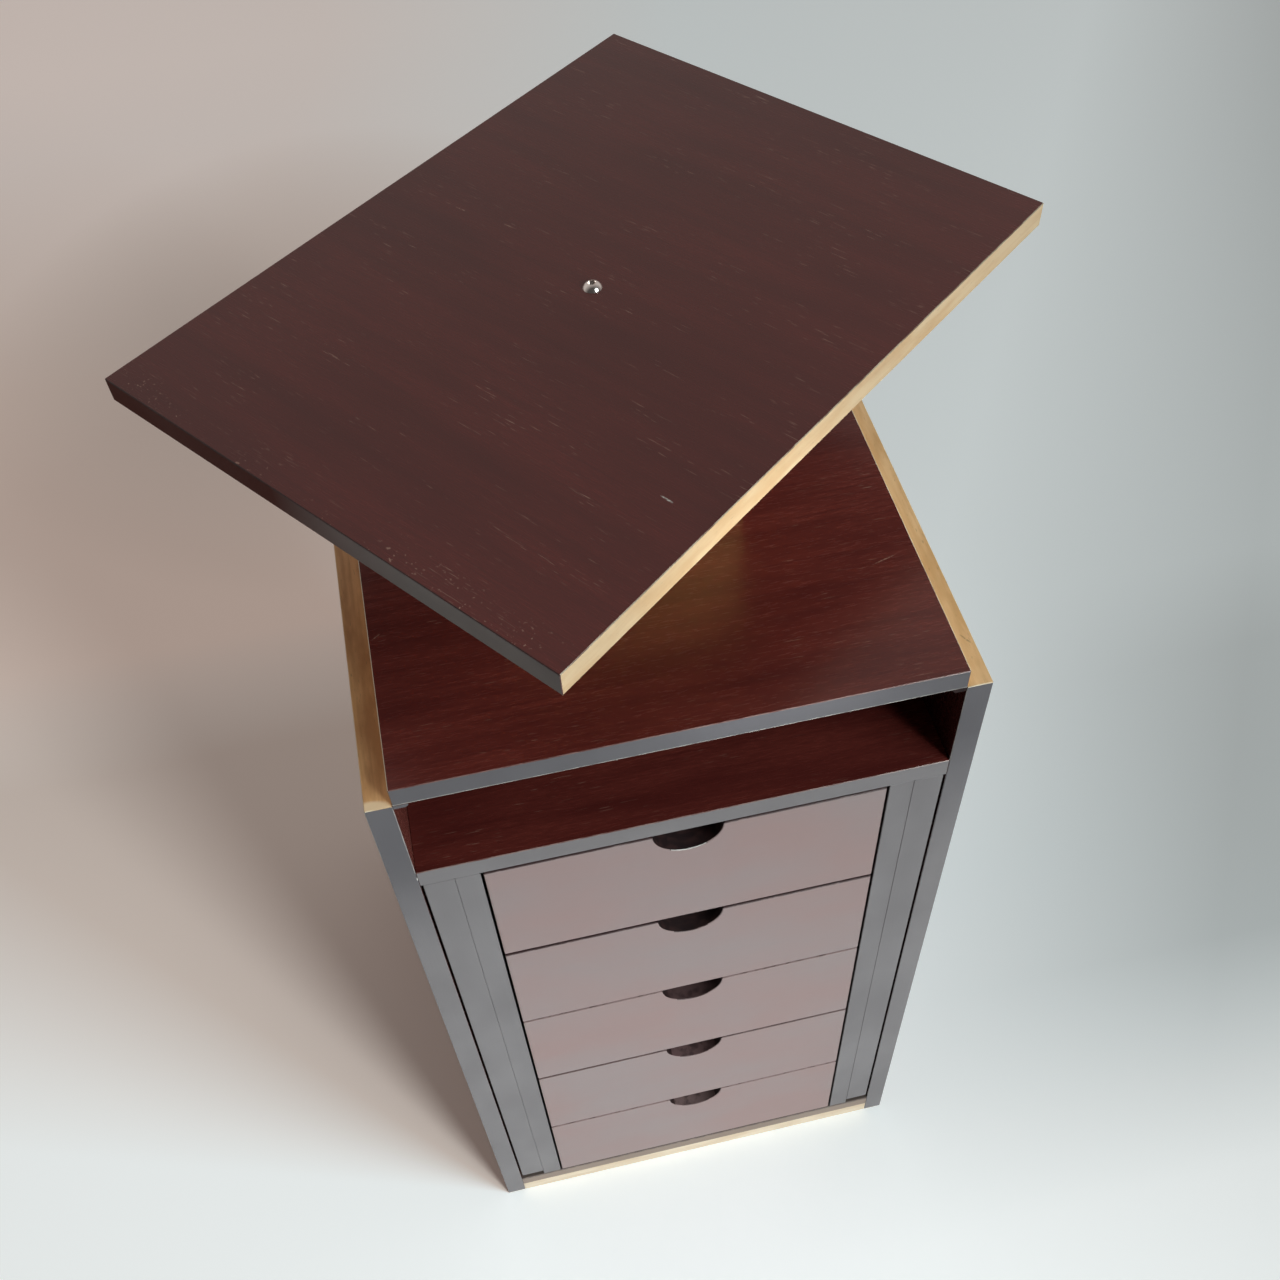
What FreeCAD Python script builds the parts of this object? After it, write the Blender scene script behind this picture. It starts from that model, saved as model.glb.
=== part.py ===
"""A tall narrow chest of five drawers with an open compartment and a swivelling top board.

Frame: millimetres, origin on the floor under the middle of the case, +X to the right,
+Y to the back, +Z up; the drawers face -Y and the top board stands turned, as it is left.
Every sub-part is drawn in its own corner frame, where x, y and z run from its left, front
and lower faces, and is then placed in the chest.
"""
import FreeCAD, Part
import os
import re
import Sketcher

# Every size of the chest, in millimetres; the one angle is in degrees.
SIZES = {
    # Case
    "board": 18.0,
    "case_width": 416.0,
    "case_depth": 500.0,
    "side_height": 796.0,
    "compartment_height": 88.0,
    "back_thick": 6.0,
    "arris": 0.5,
    # Strips that close the space between the drawer bay and the outer sides
    "filler_width": 22.0,
    "filler_gap": 2.0,
    "filler_foot_gap": 9.0,
    # Cleats that carry the fixed top
    "cleat_width": 10.0,
    "cleat_height": 3.5,
    "cleat_bevel": 2.0,
    # Loose tenons in the case joints
    "tenon_thick": 6.0,
    "tenon_width": 40.0,
    "tenon_in_face": 12.0,
    "tenon_in_end": 22.0,
    "tenon_inset": 60.0,
    # Drawer fronts and their gaps
    "front_thick": 18.0,
    "front_side_gap": 2.0,
    "front_over_gap": 2.0,
    "front_under_gap": 1.0,
    "notch_radius": 26.0,
    # Drawer boxes
    "drawer_length": 470.0,
    "wall": 12.0,
    "wall_height": 98.0,
    "wall_lift": 5.0,
    "lap_depth": 10.0,
    "tray_thick": 5.0,
    "tray_lift": 6.0,
    "tray_groove": 4.0,
    "tray_play": 0.4,
    # Runners and the grooves that hang on them
    "runner_height": 14.0,
    "runner_reach": 8.0,
    "runner_setback": 34.0,
    "runner_lift": 42.0,
    "runner_play": 0.3,
    # Swivelling board, its pedestal and its bolt
    "turn": 51.5,
    "swivel_gap": 138.0,
    "pedestal_size": 164.0,
    "washer_thick": 2.0,
    "washer_radius": 20.0,
    "bolt_radius": 4.0,
    "bolt_play": 0.08,
    "bolt_tail": 3.0,
    "head_radius": 6.6,
    "head_height": 4.2,
    "socket_radius": 2.9,
    "socket_depth": 2.4,
    "nut_radius": 7.5,
    "nut_height": 6.5,
    # Screws that hold the pedestal from below
    "screw_radius": 2.0,
    "screw_length": 50.0,
    "screw_head_radius": 4.0,
    "screw_head_height": 2.4,
    "screw_inset": 34.0,
}

DRAWERS = 5
FINGERS = 3
HEX = 6

# Places and sizes that follow from the sizes above
INNER_WIDTH = "(case_width - 2 * board)"
SHELF_DEPTH = "(case_depth - back_thick)"
SHELF_UNDER = "(side_height - compartment_height - board)"
BAY_FLOOR = "(2 * board)"
BAY_HEIGHT = f"({SHELF_UNDER} - {BAY_FLOOR})"
FILLER_SPACE = "(filler_width + filler_gap)"
BAY_WIDTH = f"({INNER_WIDTH} - 2 * {FILLER_SPACE} - 2 * board)"
PITCH = f"({BAY_HEIGHT} / {DRAWERS})"
CASE_FRONT = "(-case_depth / 2)"
FRONT_WIDTH = f"({BAY_WIDTH} - 2 * front_side_gap)"
FRONT_HEIGHT = f"({PITCH} - front_over_gap - front_under_gap)"
WALL_START = "(front_thick - lap_depth)"
WALL_LENGTH = f"(drawer_length - {WALL_START})"
FINGER = f"(wall_height / {2 * FINGERS + 1})"
GROOVE_DEPTH = "(runner_reach - front_side_gap + runner_play)"
RUNNER_LENGTH = "(drawer_length - runner_setback)"
TOP_LEVEL = "(side_height + board)"
CAP_UNDER = f"({TOP_LEVEL} + swivel_gap - washer_thick - board)"
BOARD_UNDER = f"({TOP_LEVEL} + swivel_gap)"
BOARD_TOP = f"({BOARD_UNDER} + board)"
PEDESTAL_WALL = "(swivel_gap - washer_thick - board)"

PLANES = {"x": "YZ_Plane", "y": "XZ_Plane", "z": "XY_Plane"}


def formula(text):
    """An expression in which each name of a size points at its cell."""
    return re.sub(r"[a-z_]+", lambda word: cell(word.group()), str(text))


def cell(word):
    """The sheet's cell for a size, or the word itself where it is no size."""
    return f"Sizes.{word}" if word in SIZES else word


def bind(thing, name, text):
    """Let a property follow a formula of the sizes."""
    thing.setExpression(name, formula(text))


def place(thing, x, y, z):
    """Put the corner or centre of a sub-part at a place in the chest."""
    bind(thing, "Placement.Base.x", x)
    bind(thing, "Placement.Base.y", y)
    bind(thing, "Placement.Base.z", z)


def write_sheet(doc):
    """The sheet that holds the driving sizes."""
    sheet = doc.addObject("Spreadsheet::Sheet", "Sizes")
    for row, (name, value) in enumerate(SIZES.items(), start=1):
        sheet.set(f"A{row}", name)
        sheet.set(f"B{row}", str(value))
        sheet.setAlias(f"B{row}", name)
    return sheet


# Sketches

def new_sketch(body, axis, start):
    """A sketch square to an axis of the body's frame, at a distance along it."""
    sketch = body.newObject("Sketcher::SketchObject", "Sketch")
    plane = next(item for item in body.Origin.OriginFeatures if item.Role == PLANES[axis])
    sketch.AttachmentSupport = [(plane, "")]
    sketch.MapMode = "FlatFace"
    # the normal of the upright plane across the front points to the front, along -y
    bind(sketch, "AttachmentOffset.Base.z", f"-({start})" if axis == "y" else start)
    return sketch


def dimension(sketch, kind, ends, text):
    """One driving dimension of a sketch."""
    index = sketch.addConstraint(Sketcher.Constraint(kind, *ends, 1.0))
    bind(sketch, f"Constraints[{index}]", text)


def join_ends(sketch, first, count):
    """Close a chain of lines and arcs end to end."""
    for step in range(count):
        following = first + (step + 1) % count
        sketch.addConstraint(Sketcher.Constraint("Coincident", first + step, 2, following, 1))


def rectangle(sketch, left, low, width, height):
    """A rectangle with its lower left corner at a given place."""
    first = sketch.GeometryCount
    corners = [FreeCAD.Vector(x, y, 0) for x, y in ((0, 0), (1, 0), (1, 1), (0, 1))]
    for start, end in zip(corners, corners[1:] + corners[:1]):
        sketch.addGeometry(Part.LineSegment(start, end))
    join_ends(sketch, first, 4)
    for side in (0, 2):
        sketch.addConstraint(Sketcher.Constraint("Horizontal", first + side))
        sketch.addConstraint(Sketcher.Constraint("Vertical", first + side + 1))
    dimension(sketch, "DistanceX", (-1, 1, first, 1), left)
    dimension(sketch, "DistanceY", (-1, 1, first, 1), low)
    dimension(sketch, "DistanceX", (first, 1, first, 2), width)
    dimension(sketch, "DistanceY", (first + 1, 1, first + 1, 2), height)


def circle(sketch, across, up, radius):
    """A circle round a given place."""
    index = sketch.addGeometry(Part.Circle(FreeCAD.Vector(0, 0, 0), FreeCAD.Vector(0, 0, 1), 1))
    dimension(sketch, "DistanceX", (-1, 1, index, 3), across)
    dimension(sketch, "DistanceY", (-1, 1, index, 3), up)
    dimension(sketch, "Radius", (index,), radius)


def nosed_strip(sketch, nose, low, tail, height):
    """A long strip from a half round nose to a square tail, both measured along it."""
    first = sketch.GeometryCount
    corners = [FreeCAD.Vector(x, y, 0) for x, y in ((1, 1), (2, 1), (2, 2), (1, 2))]
    for start, end in zip(corners, corners[1:]):
        sketch.addGeometry(Part.LineSegment(start, end))
    middle = (corners[0] + corners[3]) / 2
    tip = middle - FreeCAD.Vector((corners[3] - corners[0]).Length / 2, 0, 0)
    arc = sketch.addGeometry(Part.Arc(corners[3], tip, corners[0]))
    for line in (first, first + 1):
        sketch.addConstraint(Sketcher.Constraint("Coincident", line, 2, line + 1, 1))
    sketch.addConstraint(Sketcher.Constraint("Tangent", first + 2, 2, arc, 1))
    sketch.addConstraint(Sketcher.Constraint("Tangent", arc, 2, first, 1))
    sketch.addConstraint(Sketcher.Constraint("Horizontal", first))
    sketch.addConstraint(Sketcher.Constraint("Vertical", first + 1))
    sketch.addConstraint(Sketcher.Constraint("Horizontal", first + 2))
    dimension(sketch, "DistanceX", (-1, 1, first, 1), f"{nose} + {height} / 2")
    dimension(sketch, "DistanceY", (-1, 1, first, 1), low)
    dimension(sketch, "DistanceX", (first, 1, first, 2), f"{tail} - {nose} - {height} / 2")
    dimension(sketch, "DistanceY", (first + 1, 1, first + 1, 2), height)


# Features

def pad(body, sketch, axis, length):
    """Pad a sketch along an axis of the body's frame, towards its plus side."""
    feature = body.newObject("PartDesign::Pad", "Pad")
    feature.Profile = sketch
    feature.Reversed = axis == "y"
    bind(feature, "Length", length)
    return feature


def cut(body, axis, start, depth, rectangles=(), circles=(), strips=()):
    """Cut outlines into a body from a start along an axis, over a depth towards plus."""
    sketch = new_sketch(body, axis, start)
    for outline in rectangles:
        rectangle(sketch, *outline)
    for outline in circles:
        circle(sketch, *outline)
    for outline in strips:
        nosed_strip(sketch, *outline)
    feature = body.newObject("PartDesign::Pocket", "Pocket")
    feature.Profile = sketch
    feature.Reversed = axis != "y"
    bind(feature, "Length", depth)
    return feature


def repeat_up(body, feature, step, count):
    """Repeat a cut upwards at an even step."""
    pattern = body.newObject("PartDesign::LinearPattern", "Repeat")
    pattern.Originals = [feature]
    pattern.Direction = (feature.Profile[0], ["V_Axis"])
    pattern.Occurrences = count
    bind(pattern, "Length", f"{step} * {count - 1}")
    body.Tip = pattern
    return pattern


def plank(doc, label, axis, width, depth, height, eased=True):
    """A sawn board of a width, depth and height, padded along one axis."""
    body = doc.addObject("PartDesign::Body", label)
    body.Label = label
    sketch = new_sketch(body, axis, "0")
    spans = {"x": (depth, height, width), "y": (width, height, depth), "z": (width, depth, height)}
    across, up, through = spans[axis]
    rectangle(sketch, "0", "0", across, up)
    pad(body, sketch, axis, through)
    if eased:
        ease(doc, body)
    return body


def ease(doc, body):
    """Take the arris off every edge that a body has so far."""
    doc.recompute()
    base = body.Tip
    chamfer = body.newObject("PartDesign::Chamfer", "Arris")
    chamfer.Base = (base, [""])
    chamfer.UseAllEdges = True
    bind(chamfer, "Size", "arris")


def primitive(doc, kind, label, **sizes):
    """A solid primitive whose properties follow formulas."""
    solid = doc.addObject(f"Part::{kind}", label)
    for name, text in sizes.items():
        bind(solid, name, text)
    return solid


def boolean(doc, kind, label, base, tool):
    """A cut, fuse or common of two solids."""
    result = doc.addObject(f"Part::{kind}", label)
    result.Label = label
    result.Base = base
    result.Tool = tool
    return result


# Case

TENON_ROWS = ("tenon_inset", f"({SHELF_DEPTH} - tenon_inset)")
TENON_LENGTH = "(tenon_in_face + tenon_in_end)"
LEVEL_ROWS = ("(board / 2)", "(board * 3 / 2)", f"({SHELF_UNDER} + board / 2)")


def level_mortises(rows):
    """Outlines, in depth and height, of the mortises for tenons that lie level."""
    corner = [(f"{y} - tenon_width / 2", f"{z} - tenon_thick / 2") for y in TENON_ROWS for z in rows]
    return [(left, low, "tenon_width", "tenon_thick") for left, low in corner]


def upright_mortises(rows):
    """Outlines, in width and depth, of the mortises for tenons that stand upright."""
    corner = [(f"{x} - tenon_thick / 2", f"{y} - tenon_width / 2") for x in rows for y in TENON_ROWS]
    return [(left, low, "tenon_thick", "tenon_width") for left, low in corner]


def side(doc, label, x, mortise_start):
    """An outer side with mortises for the tenons of the three level boards."""
    body = plank(doc, label, "x", "board", "case_depth", "side_height")
    cut(body, "x", mortise_start, "tenon_in_face", rectangles=level_mortises(LEVEL_ROWS))
    place(body, x, CASE_FRONT, "0")
    return body


def level_board(doc, label, z, liner_mortises=None):
    """A board between the sides, in front of the back panel, tenoned at both ends."""
    body = plank(doc, label, "z", INNER_WIDTH, SHELF_DEPTH, "board")
    for start in ("0", f"{INNER_WIDTH} - tenon_in_end"):
        cut(body, "x", start, "tenon_in_end", rectangles=level_mortises(["board / 2"]))
    if liner_mortises:
        middles = (f"({FILLER_SPACE} + board / 2)", f"({INNER_WIDTH} - {FILLER_SPACE} - board / 2)")
        cut(body, "z", liner_mortises, "tenon_in_face", rectangles=upright_mortises(middles))
    place(body, f"-{INNER_WIDTH} / 2", CASE_FRONT, z)
    return body


def liner(doc, label, x):
    """An inner side of the drawer bay, tenoned into the boards below and above."""
    body = plank(doc, label, "x", "board", SHELF_DEPTH, BAY_HEIGHT)
    for start in ("0", f"{BAY_HEIGHT} - tenon_in_end"):
        cut(body, "z", start, "tenon_in_end", rectangles=upright_mortises(["board / 2"]))
    place(body, x, CASE_FRONT, BAY_FLOOR)
    return body


def filler(doc, label, x):
    """A strip on the liner that closes the front of the space beside the drawer bay."""
    body = plank(doc, label, "z", "filler_width", "board", f"{BAY_HEIGHT} - filler_foot_gap")
    place(body, x, CASE_FRONT, f"{BAY_FLOOR} + filler_foot_gap")
    return body


def cleat(doc, label, x, on_left):
    """A strip on the side's inner face that carries the fixed top, bevelled below."""
    body = plank(doc, label, "y", "cleat_width", SHELF_DEPTH, "cleat_height", eased=False)
    doc.recompute()
    base = body.Tip
    bevel = body.newObject("PartDesign::Chamfer", "Bevel")
    bevel.Base = (base, [lower_edge(base.Shape, on_left)])
    bind(bevel, "Size", "cleat_bevel")
    place(body, x, CASE_FRONT, "side_height - cleat_height")
    return body


def lower_edge(shape, on_left):
    """The name of the long lower edge on the left or right of a strip."""
    box = shape.BoundBox
    wanted = FreeCAD.Vector(box.XMin if on_left else box.XMax, box.Center.y, box.ZMin)
    nearest = min(
        range(len(shape.Edges)),
        key=lambda index: shape.Edges[index].CenterOfMass.distanceToPoint(wanted),
    )
    return f"Edge{nearest + 1}"


def tenon(doc, corner, width, depth, height):
    """One loose tenon with its lower left front corner at a place."""
    solid = primitive(doc, "Box", "Tenon", Length=width, Width=depth, Height=height)
    place(solid, *corner)
    return solid


def case_tenons(doc):
    """The loose tenons of the case joints, one group of separate pieces."""
    tenons = []
    ends = (f"-{INNER_WIDTH} / 2 - tenon_in_face", f"{INNER_WIDTH} / 2 - tenon_in_end")
    levels = (f"{BAY_FLOOR} - tenon_in_face", f"{SHELF_UNDER} - tenon_in_end")
    for row in TENON_ROWS:
        y = f"{CASE_FRONT} + {row} - tenon_width / 2"
        for level in LEVEL_ROWS:
            for x in ends:
                corner = (x, y, f"{level} - tenon_thick / 2")
                tenons.append(tenon(doc, corner, TENON_LENGTH, "tenon_width", "tenon_thick"))
        for sign in ("-", ""):
            x = f"{sign}({BAY_WIDTH} + board) / 2 - tenon_thick / 2"
            for z in levels:
                tenons.append(tenon(doc, (x, y, z), "tenon_thick", "tenon_width", TENON_LENGTH))
    return group(doc, "case_tenons", tenons)


def group(doc, label, solids):
    """Separate solids that share one name."""
    compound = doc.addObject("Part::Compound", label)
    compound.Label = label
    compound.Links = solids
    return compound


def build_case(doc):
    """Sides, level boards, drawer bay, back, fixed top and the tenons that join them."""
    half = "case_width / 2"
    parts = [
        side(doc, "left_side", f"-{half}", "board - tenon_in_face"),
        side(doc, "right_side", f"{half} - board", "0"),
        level_board(doc, "base_panel", "0"),
        level_board(doc, "case_bottom", "board", "board - tenon_in_face"),
        level_board(doc, "shelf_panel", SHELF_UNDER, "0"),
        liner(doc, "liner_left", f"-{BAY_WIDTH} / 2 - board"),
        liner(doc, "liner_right", f"{BAY_WIDTH} / 2"),
        filler(doc, "filler_left", f"-{BAY_WIDTH} / 2 - board - filler_width"),
        filler(doc, "filler_right", f"{BAY_WIDTH} / 2 + board"),
        cleat(doc, "cleat_left", f"-{INNER_WIDTH} / 2", False),
        cleat(doc, "cleat_right", f"{INNER_WIDTH} / 2 - cleat_width", True),
    ]
    back = plank(doc, "back_panel", "y", INNER_WIDTH, "back_thick", "side_height")
    place(back, f"-{INNER_WIDTH} / 2", "case_depth / 2 - back_thick", "0")
    parts += [back, top_panel(doc), case_tenons(doc)]
    return parts


# Fixed top and the pedestal on it

def screw_places(corner_x, corner_y):
    """Centres of the four pedestal screws in a frame whose corner is given."""
    near, far = "board / 2", "pedestal_size - board / 2"
    return [
        (f"{corner_x} + {x}", f"{corner_y} + {y}")
        for x in ("screw_inset", "pedestal_size - screw_inset")
        for y in (near, far)
    ]


def top_panel(doc):
    """The fixed top, level with the case front, bored from below for the pedestal screws."""
    body = plank(doc, "top_panel", "z", INNER_WIDTH, "case_depth", "board")
    centres = screw_places(f"({INNER_WIDTH} - pedestal_size) / 2", "(case_depth - pedestal_size) / 2")
    cut(body, "z", "0", "board", circles=[(x, y, "screw_radius") for x, y in centres])
    heads = [(x, y, "screw_head_radius") for x, y in centres]
    cut(body, "z", "0", "screw_head_height", circles=heads)
    place(body, f"-{INNER_WIDTH} / 2", CASE_FRONT, "side_height")
    return body


def pedestal_wall(doc, label, axis, x, y):
    """One wall of the box that lifts the swivelling board."""
    across = "pedestal_size" if axis == "y" else "board"
    along = "board" if axis == "y" else "(pedestal_size - 2 * board)"
    body = plank(doc, label, axis, across, along, PEDESTAL_WALL)
    if axis == "y":
        middles = ("screw_inset", "pedestal_size - screw_inset")
        holes = [(middle, "board / 2", "screw_radius") for middle in middles]
        cut(body, "z", "0", "screw_length - board", circles=holes)
    place(body, x, y, TOP_LEVEL)
    return body


def pedestal_screws(doc):
    """Four screws from under the fixed top into the pedestal's front and back walls."""
    screws = []
    for x, y in screw_places("-pedestal_size / 2", "-pedestal_size / 2"):
        shank = primitive(doc, "Cylinder", "Shank", Radius="screw_radius", Height="screw_length")
        head = primitive(doc, "Cylinder", "Head", Radius="screw_head_radius", Height="screw_head_height")
        for solid in (shank, head):
            place(solid, x, y, "side_height")
        screws.append(boolean(doc, "Fuse", "Screw", shank, head))
    return group(doc, "pedestal_screws", screws)


def build_pedestal(doc):
    """The box under the swivelling board, with its cap and screws."""
    corner = "-pedestal_size / 2"
    far = "pedestal_size / 2 - board"
    cap = plank(doc, "pedestal_cap", "z", "pedestal_size", "pedestal_size", "board")
    middle = "pedestal_size / 2"
    cut(cap, "z", "0", "board", circles=[(middle, middle, "bolt_radius")])
    place(cap, corner, corner, CAP_UNDER)
    return [
        pedestal_wall(doc, "pedestal_front", "y", corner, corner),
        pedestal_wall(doc, "pedestal_back", "y", corner, far),
        pedestal_wall(doc, "pedestal_left", "x", corner, f"{corner} + board"),
        pedestal_wall(doc, "pedestal_right", "x", far, f"{corner} + board"),
        cap,
        pedestal_screws(doc),
    ]


# Pivot and swivelling board

def hexagon(doc, label, radius, height, x, y, z):
    """A hexagonal prism standing on its centre."""
    prism = primitive(doc, "Prism", label, Circumradius=radius, Height=height)
    prism.Polygon = HEX
    place(prism, x, y, z)
    return prism


def pivot_bolt(doc):
    """A domed bolt with a hexagon socket, from the board's face down through the cap."""
    shank_low = f"({CAP_UNDER} - nut_height - bolt_tail)"
    dome_radius = "(head_radius * head_radius + head_height * head_height) / (2 * head_height)"
    ball = primitive(doc, "Sphere", "Ball", Radius=dome_radius)
    place(ball, "0", "0", f"{BOARD_TOP} + head_height - {dome_radius}")
    disc = primitive(doc, "Cylinder", "Disc", Radius="head_radius", Height="head_height")
    place(disc, "0", "0", BOARD_TOP)
    dome = boolean(doc, "Common", "Dome", ball, disc)
    shank = primitive(doc, "Cylinder", "Shank", Radius="bolt_radius", Height=f"{BOARD_TOP} - {shank_low}")
    place(shank, "0", "0", shank_low)
    whole = boolean(doc, "Fuse", "Blank", dome, shank)
    socket_low = f"{BOARD_TOP} + head_height - socket_depth"
    socket = hexagon(doc, "Socket", "socket_radius", "head_height", "0", "0", socket_low)
    return boolean(doc, "Cut", "pivot_bolt", whole, socket)


def ring(doc, label, radius, height, z):
    """A washer round the bolt."""
    disc = primitive(doc, "Cylinder", "Disc", Radius=radius, Height=height)
    hole = primitive(doc, "Cylinder", "Bore", Radius="bolt_radius", Height=height)
    for solid in (disc, hole):
        place(solid, "0", "0", z)
    return boolean(doc, "Cut", label, disc, hole)


def pivot_nut(doc):
    """The nut under the cap."""
    low = f"({CAP_UNDER} - nut_height)"
    body = hexagon(doc, "Blank", "nut_radius", "nut_height", "0", "0", low)
    hole = primitive(doc, "Cylinder", "Bore", Radius="bolt_radius", Height="nut_height")
    place(hole, "0", "0", low)
    return boolean(doc, "Cut", "pivot_nut", body, hole)


def swivel_top(doc):
    """The board that turns on the bolt, drawn square and placed at its turn."""
    body = plank(doc, "swivel_top", "z", INNER_WIDTH, "case_depth", "board")
    centre = (f"{INNER_WIDTH} / 2", "case_depth / 2", "bolt_radius + bolt_play")
    cut(body, "z", "0", "board", circles=[centre])
    bind(body, "Placement.Rotation.Angle", "-turn")
    cosine, sine = "cos(turn * 1 deg)", "sin(turn * 1 deg)"
    place(
        body,
        f"-({INNER_WIDTH} * {cosine} + case_depth * {sine}) / 2",
        f"({INNER_WIDTH} * {sine} - case_depth * {cosine}) / 2",
        BOARD_UNDER,
    )
    return body


def build_swivel(doc):
    """Bolt, washer and nut, and the board that turns round them."""
    washer = ring(doc, "pivot_washer", "washer_radius", "washer_thick", f"{BOARD_UNDER} - washer_thick")
    return [pivot_bolt(doc), washer, pivot_nut(doc), swivel_top(doc)]


# Drawers and their runners

def bay_z(number):
    """The floor of one drawer's share of the bay, counted from the top drawer."""
    return f"({SHELF_UNDER} - {number} * {PITCH})"


def drawer_corner(number):
    """The lower left front corner of one drawer's front."""
    return (f"-{FRONT_WIDTH} / 2", CASE_FRONT, f"{bay_z(number)} + front_under_gap")


def drawer_front(doc, number):
    """A front with its finger notch, rabbeted for the walls and grooved for the tray."""
    label = f"drawer_{number}_front"
    body = plank(doc, label, "y", FRONT_WIDTH, "front_thick", FRONT_HEIGHT, eased=False)
    notch = (f"{FRONT_WIDTH} / 2", FRONT_HEIGHT, "notch_radius")
    cut(body, "y", "0", "front_thick", circles=[notch])
    ease(doc, body)
    laps = [(x, "wall_lift", "wall", "wall_height") for x in ("0", f"{FRONT_WIDTH} - wall")]
    cut(body, "y", WALL_START, "lap_depth", rectangles=laps)
    groove = (
        "wall - tray_groove",
        "wall_lift + tray_lift",
        f"{FRONT_WIDTH} - 2 * (wall - tray_groove)",
        "tray_thick",
    )
    cut(body, "y", "front_thick - tray_groove", "tray_groove", rectangles=[groove])
    place(body, *drawer_corner(number))
    return body


def drawer_side(doc, number, hand):
    """A wall with a nosed groove for its runner, a tray groove and finger joints behind."""
    body = plank(doc, f"drawer_{number}_{hand}", "x", "wall", WALL_LENGTH, "wall_height", eased=False)
    on_left = hand == "left"
    groove = (
        f"(runner_setback - {WALL_START} - runner_play)",
        "runner_lift - runner_play",
        WALL_LENGTH,
        "(runner_height + 2 * runner_play)",
    )
    cut(body, "x", "0" if on_left else f"wall - {GROOVE_DEPTH}", GROOVE_DEPTH, strips=[groove])
    tray = ("0", "tray_lift", f"{WALL_LENGTH} - wall + tray_groove", "tray_thick")
    cut(body, "x", "wall - tray_groove" if on_left else "0", "tray_groove", rectangles=[tray])
    finger = cut(body, "x", "0", "wall", rectangles=[(f"{WALL_LENGTH} - wall", FINGER, "wall", FINGER)])
    repeat_up(body, finger, f"2 * {FINGER}", FINGERS)
    x, y, z = drawer_corner(number)
    offset = "0" if on_left else f"{FRONT_WIDTH} - wall"
    place(body, f"{x} + {offset}", f"{y} + {WALL_START}", f"{z} + wall_lift")
    return body


def drawer_back(doc, number):
    """The back, with fingers between those of the walls and a groove for the tray."""
    body = plank(doc, f"drawer_{number}_back", "y", FRONT_WIDTH, "wall", "wall_height", eased=False)
    groove = ("wall", "tray_lift", f"{FRONT_WIDTH} - 2 * wall", "tray_thick")
    cut(body, "y", "0", "tray_groove", rectangles=[groove])
    ends = [(x, "0", "wall", FINGER) for x in ("0", f"{FRONT_WIDTH} - wall")]
    finger = cut(body, "y", "0", "wall", rectangles=ends)
    repeat_up(body, finger, f"2 * {FINGER}", FINGERS + 1)
    slots = [
        (x, "runner_lift - runner_play", GROOVE_DEPTH, "runner_height + 2 * runner_play")
        for x in ("0", f"{FRONT_WIDTH} - {GROOVE_DEPTH}")
    ]
    cut(body, "y", "0", "wall", rectangles=slots)
    x, y, z = drawer_corner(number)
    place(body, x, f"{y} + drawer_length - wall", f"{z} + wall_lift")
    return body


def drawer_tray(doc, number):
    """The thin bottom, loose in the grooves of the four walls."""
    inset = "(wall - tray_groove + tray_play)"
    start = "(front_thick - tray_groove + tray_play)"
    width = f"{FRONT_WIDTH} - 2 * {inset}"
    depth = f"drawer_length - {start} - {inset}"
    body = plank(doc, f"drawer_{number}_bottom", "z", width, depth, "tray_thick", eased=False)
    x, y, z = drawer_corner(number)
    place(body, f"{x} + {inset}", f"{y} + {start}", f"{z} + wall_lift + tray_lift")
    return body


def runner(doc, number, hand):
    """A hardwood strip with a half round nose, screwed to the liner."""
    label = f"runner_{number}_{hand}"
    body = doc.addObject("PartDesign::Body", label)
    body.Label = label
    sketch = new_sketch(body, "x", "0")
    nosed_strip(sketch, "0", "0", RUNNER_LENGTH, "runner_height")
    pad(body, sketch, "x", "runner_reach")
    x = f"-{BAY_WIDTH} / 2" if hand == "left" else f"{BAY_WIDTH} / 2 - runner_reach"
    z = f"{bay_z(number)} + front_under_gap + wall_lift + runner_lift"
    place(body, x, f"{CASE_FRONT} + runner_setback", z)
    return body


def build_drawers(doc):
    """Five drawers, each of five pieces, and the pairs of runners they hang on."""
    parts = []
    for number in range(1, DRAWERS + 1):
        parts.append(drawer_front(doc, number))
        parts.append(drawer_back(doc, number))
        parts.append(drawer_tray(doc, number))
        for hand in ("left", "right"):
            parts.append(drawer_side(doc, number, hand))
            parts.append(runner(doc, number, hand))
    return parts


# Checks and files

def check(doc, parts):
    """Stop if a feature failed, a cut took nothing away or a sub-part is not sound."""
    for thing in doc.Objects:
        if {"Invalid", "Error"} & set(thing.State):
            raise RuntimeError(f"{thing.Label} failed: {thing.State}")
        if thing.TypeId == "PartDesign::Pocket":
            if not thing.Shape.Volume < thing.BaseFeature.Shape.Volume:
                raise RuntimeError(f"{thing.Label} cuts nothing")
    for part in parts:
        if part.Shape.isNull() or not part.Shape.isValid() or not part.Shape.Solids:
            raise RuntimeError(f"{part.Label} has no sound shape")


def main():
    """Draw the chest, check it and write one file for each sub-part."""
    doc = FreeCAD.newDocument("Chest")
    write_sheet(doc)
    doc.recompute()
    parts = build_case(doc) + build_pedestal(doc) + build_swivel(doc) + build_drawers(doc)
    doc.recompute()
    check(doc, parts)
    os.makedirs("parts", exist_ok=True)
    for part in parts:
        part.Shape.exportStep(f"parts/{part.Label}.step")
    print(len(parts), "sub-parts written")


main()
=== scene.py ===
"""The looks of a tall chest of drawers with a swivelling top board.

Lengths are metres, in the frame of the solids: origin on the floor under the middle of the
case, +X to the right, +Y to the back, +Z up. Every board keeps its solid and gets a finish
for its broad faces and others for its edges; small fasteners, floor, light and camera are
added here.
"""
import math
from collections import namedtuple

import bmesh
import bpy
from mathutils import Matrix, Vector


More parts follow.
